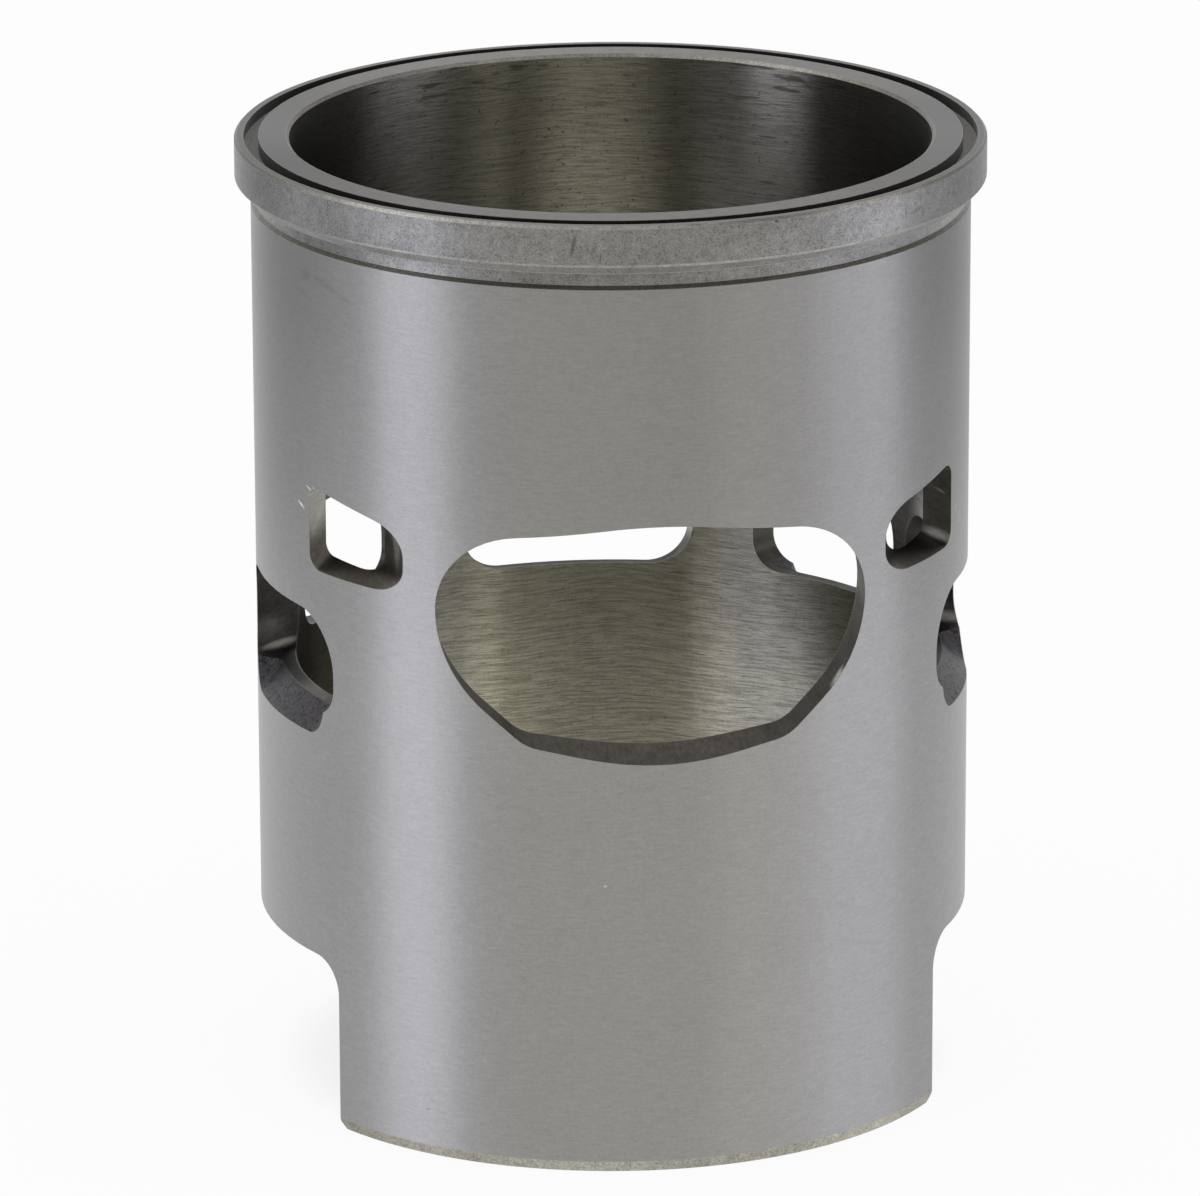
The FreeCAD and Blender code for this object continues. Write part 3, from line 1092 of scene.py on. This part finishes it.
    def tool_direction(self, at: Surroundings) -> Socket:
        """Direction in which the tool marks run.

        Args:
            at: Measurements of the surface.

        Returns:
            A vector round the bore's axis, lifted a little so that no wall stands square to it.
        """
        w = at.wiring
        round_the_axis = w.vector("CROSS_PRODUCT", (0.0, 0.0, 1.0), at.place)
        return w.vector("ADD", w.vector("NORMALIZE", round_the_axis), (0.0, 0.0, self.tool_lift))


def seen_from(azimuth: float, elevation: float) -> Vector:
    """Direction from the liner to something round it.

    Args:
        azimuth: Its angle round the liner in degrees, from -Y towards +X.
        elevation: Its angle above level, in degrees.

    Returns:
        A vector of length 1.
    """
    turn, lift = math.radians(azimuth), math.radians(elevation)
    return Vector((math.cos(lift) * math.sin(turn), -math.cos(lift) * math.cos(turn), math.sin(lift)))


def facing_the_liner(place: Vector, out: Vector) -> Matrix:
    """Placing of a camera or lamp that looks back along a direction.

    Args:
        place: Where it stands.
        out: The direction from what it looks at.

    Returns:
        Its matrix.
    """
    return Matrix.Translation(place) @ out.to_track_quat("Z", "Y").to_matrix().to_4x4()


@dataclass
class PhotographCamera:
    """The photograph's camera, as fitted to the liner's rims and edges.

    Attributes:
        image_width: Width of the photograph in pixels.
        sensor_width: Width of the sensor in millimetres.
        focal_pixels: Focal length in the photograph's pixels.
        distance: How far it stands from its aim, in metres.
        azimuth: Its angle round the liner.
        elevation: Its angle above level.
        roll: How far it is turned on its own axis, in degrees.
        aim_height: Height on the bore's axis that it is turned to, in metres.
        aim_right: How far right of the picture's middle that point lies, in pixels.
        aim_down: How far below it, in pixels.
        clip: Nearest and furthest that it sees, in metres.
    """

    image_width: float = 1200.0
    sensor_width: float = 36.0
    focal_pixels: float = 8957.7
    distance: float = 1.16085
    azimuth: float = -6.9
    elevation: float = 17.32
    roll: float = -0.193
    aim_height: float = 0.060
    aim_right: float = 12.127
    aim_down: float = 14.018
    clip: Range = (0.05, 20.0)

    def build(self) -> None:
        """Makes the camera and gives it to the scene."""
        data = bpy.data.cameras.new("photograph_camera")
        data.sensor_width = self.sensor_width
        data.lens = self.sensor_width * self.focal_pixels / self.image_width
        data.shift_x = -self.aim_right / self.image_width
        data.shift_y = self.aim_down / self.image_width
        data.clip_start, data.clip_end = self.clip
        camera = bpy.data.objects.new("photograph_camera", data)
        bpy.context.scene.collection.objects.link(camera)
        out = seen_from(self.azimuth, self.elevation)
        place = Vector((0.0, 0.0, self.aim_height)) + out * self.distance
        camera.matrix_world = facing_the_liner(place, out) @ Matrix.Rotation(math.radians(self.roll), 4, "Z")
        bpy.context.scene.camera = camera


@dataclass(frozen=True)
class Softbox:
    """One soft lamp, placed round the liner by the direction that it shines from.

    Attributes:
        name: Its name.
        azimuth: Its angle round the liner.
        elevation: Its angle above level.
        distance: How far it stands from its aim, in metres.
        width: Its width in metres.
        height: Its height in metres.
        power: Its power in watts.
        colour: Its light's colour.
    """

    name: str
    azimuth: float
    elevation: float
    distance: float
    width: float
    height: float
    power: float
    colour: Colour = WHITE

    def build(self, aim: Vector) -> None:
        """Makes the lamp.

        Args:
            aim: The point that it faces.
        """
        data = bpy.data.lights.new(self.name, "AREA")
        data.shape = "RECTANGLE"
        data.size = self.width
        data.size_y = self.height
        data.energy = self.power
        data.color = self.colour
        lamp = bpy.data.objects.new(self.name, data)
        bpy.context.scene.collection.objects.link(lamp)
        out = seen_from(self.azimuth, self.elevation)
        lamp.matrix_world = facing_the_liner(aim + out * self.distance, out)


@dataclass
class Studio:
    """Pale floor, white surroundings and three soft lamps.

    Attributes:
        floor_size: Length of the floor's sides.
        floor_colour: Its colour where it is lit.
        shown_share: How much of the floor that is seen is plain white.
        under_liner: Distances between which the painted shade under the liner ends.
        under_share: How much of the white is left in that painted shade.
        daylight: How strongly the surroundings light the scene.
        behind: Angle round the liner at which the room is whitest.
        behind_reach: Cosines of the angle from there between which the room whitens.
        front_share: How bright the room is in front.
        room_reach: Distances between which the floor's reflection takes on the room's brightness.
        aim_height: Height on the axis that the lamps face.
        lamps: The lamps.
    """

    floor_size: float = 6.0
    floor_colour: Colour = (0.86, 0.86, 0.86)
    shown_share: float = 0.92
    under_liner: Range = (0.036, 0.046)
    under_share: float = 0.85
    daylight: float = 0.85
    behind: float = 173.1
    behind_reach: Range = (0.35, 0.95)
    front_share: float = 0.75
    room_reach: Range = (0.30, 1.2)
    aim_height: float = 0.06
    lamps: Sequence[Softbox] = (
        Softbox("left_softbox", -71.5, 8.0, 0.9, 0.40, 0.36, 1.75, (0.88, 0.90, 1.0)),
        Softbox("right_softbox", 76.0, 8.0, 0.9, 0.54, 0.36, 1.1, (0.92, 0.91, 1.0)),
        Softbox("front_softbox", 44.0, 8.0, 0.9, 0.60, 0.36, 0.5, (0.97, 0.97, 1.0)),
    )

    def build(self) -> None:
        """Makes the floor, the world and the lamps."""
        self.build_floor()
        self.build_world()
        for lamp in self.lamps:
            lamp.build(Vector((0.0, 0.0, self.aim_height)))

    def ray_kinds(self, w: Wiring) -> tuple[Socket, Socket]:
        """Tells rays that show the surroundings from those that light with them.

        Args:
            w: The wiring to draw in.

        Returns:
            1 for camera, glossy and transmission rays, and 1 for glossy rays alone.
        """
        path = w.node("ShaderNodeLightPath")
        direct = w.math("MAXIMUM", path.outputs["Is Camera Ray"], path.outputs["Is Transmission Ray"])
        return w.math("MAXIMUM", direct, path.outputs["Is Glossy Ray"]), path.outputs["Is Glossy Ray"]

    def room(self, w: Wiring, direction: Socket) -> Socket:
        """How bright the room is in a direction: white behind the liner and dimmer in front.

        Args:
            w: The wiring to draw in.
            direction: The direction from the liner, of length 1.

        Returns:
            The brightness.
        """
        east, north, _ = w.separate(direction)
        level = w.vector("NORMALIZE", w.combine(east, north, 0.0))
        backwards = w.vector("DOT_PRODUCT", level, tuple(seen_from(self.behind, 0.0)))
        return w.ease(backwards, *self.behind_reach, start=self.front_share)

    def build_floor(self) -> None:
        """Makes the floor: white where it is lit, and grey with a painted shade under the liner."""
        bpy.ops.object.select_all(action="DESELECT")
        bpy.ops.mesh.primitive_plane_add(size=self.floor_size)
        floor = bpy.context.object
        floor.name = "floor"
        material = bpy.data.materials.new("pale_floor")
        material.use_nodes = True
        w = Wiring(material.node_tree)
        place = w.node("ShaderNodeTexCoord").outputs["Object"]
        reach = w.vector("LENGTH", place)
        seen, glossy = self.ray_kinds(w)
        # Painted shade under the liner: less of the plain white there.
        shade = w.ease(reach, *self.under_liner, start=self.under_share)
        shown = w.times(w.times(seen, self.shown_share), shade)
        far_off = w.mix(w.ease(reach, *self.room_reach), 1.0, self.room(w, w.vector("NORMALIZE", place)))
        strength = w.mix(glossy, 1.0, far_off)
        diffuse = w.node("ShaderNodeBsdfDiffuse")
        w.feed(diffuse.inputs["Color"], self.floor_colour)
        shine = w.node("ShaderNodeEmission")
        w.feed(shine.inputs["Color"], WHITE)
        w.feed(shine.inputs["Strength"], strength)
        mixed = w.node("ShaderNodeMixShader")
        w.feed(mixed.inputs[0], shown)
        w.feed(mixed.inputs[1], diffuse.outputs[0])
        w.feed(mixed.inputs[2], shine.outputs[0])
        output = w.node("ShaderNodeOutputMaterial")
        w.feed(output.inputs["Surface"], mixed.outputs[0])
        floor.data.materials.append(material)

    def build_world(self) -> None:
        """Makes surroundings that show white and light the room evenly."""
        world = bpy.data.worlds.new("white_room")
        bpy.context.scene.world = world
        world.use_nodes = True
        w = Wiring(world.node_tree)
        seen, glossy = self.ray_kinds(w)
        direction = w.node("ShaderNodeTexCoord").outputs["Generated"]
        shown = w.mix(glossy, 1.0, self.room(w, direction))
        background = w.node("ShaderNodeBackground")
        w.feed(background.inputs["Color"], WHITE)
        w.feed(background.inputs["Strength"], w.mix(seen, self.daylight, shown))
        output = w.node("ShaderNodeOutputWorld")
        w.feed(output.inputs["Surface"], background.outputs[0])


def main() -> None:
    """Builds the camera, the liner's looks and the studio."""
    logging.basicConfig(level=logging.INFO, format="%(message)s")
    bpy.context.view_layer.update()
    bpy.context.scene.view_settings.view_transform = "Standard"
    PhotographCamera().build()
    LOG.info("camera placed")
    liner = CylinderLiner(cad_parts["cylinder_liner"])
    liner.dress()
    LOG.info("cylinder_liner dressed in %d zones", len(liner.zones()))
    Studio().build()
    LOG.info("studio built")


if __name__ == "__main__":
    main()
